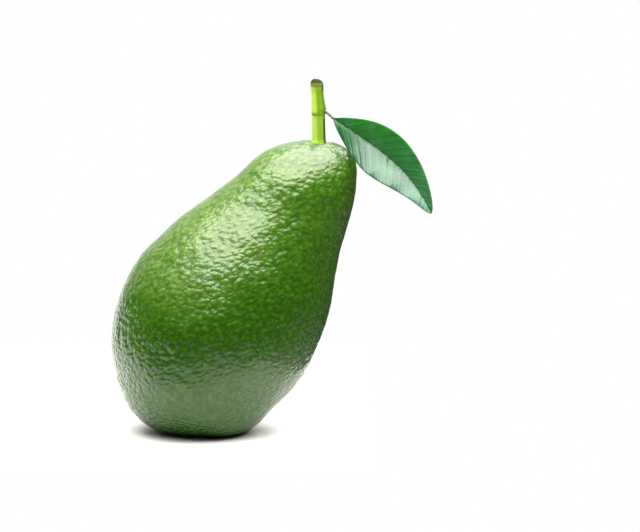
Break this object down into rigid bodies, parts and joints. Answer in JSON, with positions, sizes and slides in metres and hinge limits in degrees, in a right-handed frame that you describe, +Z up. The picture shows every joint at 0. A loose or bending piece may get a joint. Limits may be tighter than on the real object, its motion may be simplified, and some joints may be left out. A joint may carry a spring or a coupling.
{
  "type": "avocado",
  "caption": "Whole pear-shaped green avocado with pebbled skin, its cut stem and a folded leaf, leaning on a small flat spot it rests on.",
  "frame": {"origin": "middle of the flat spot that the fruit rests on", "axes": "+Z up; the fruit's neck leans towards +X; the leaf's tip droops towards -Y"},
  "size_m": [0.1122, 0.0697, 0.1244],
  "materials": {
    "fruit_skin": "satin",
    "green_stem": "satin",
    "tan_stalk": "matte",
    "waxy_leaf": "gloss"
  },
  "bodies": {
    "root": {"fruit": "fruit_skin", "stem": "green_stem", "leaf_stalk": "tan_stalk", "leaf_blade": "waxy_leaf"}
  },
  "joints": []
}
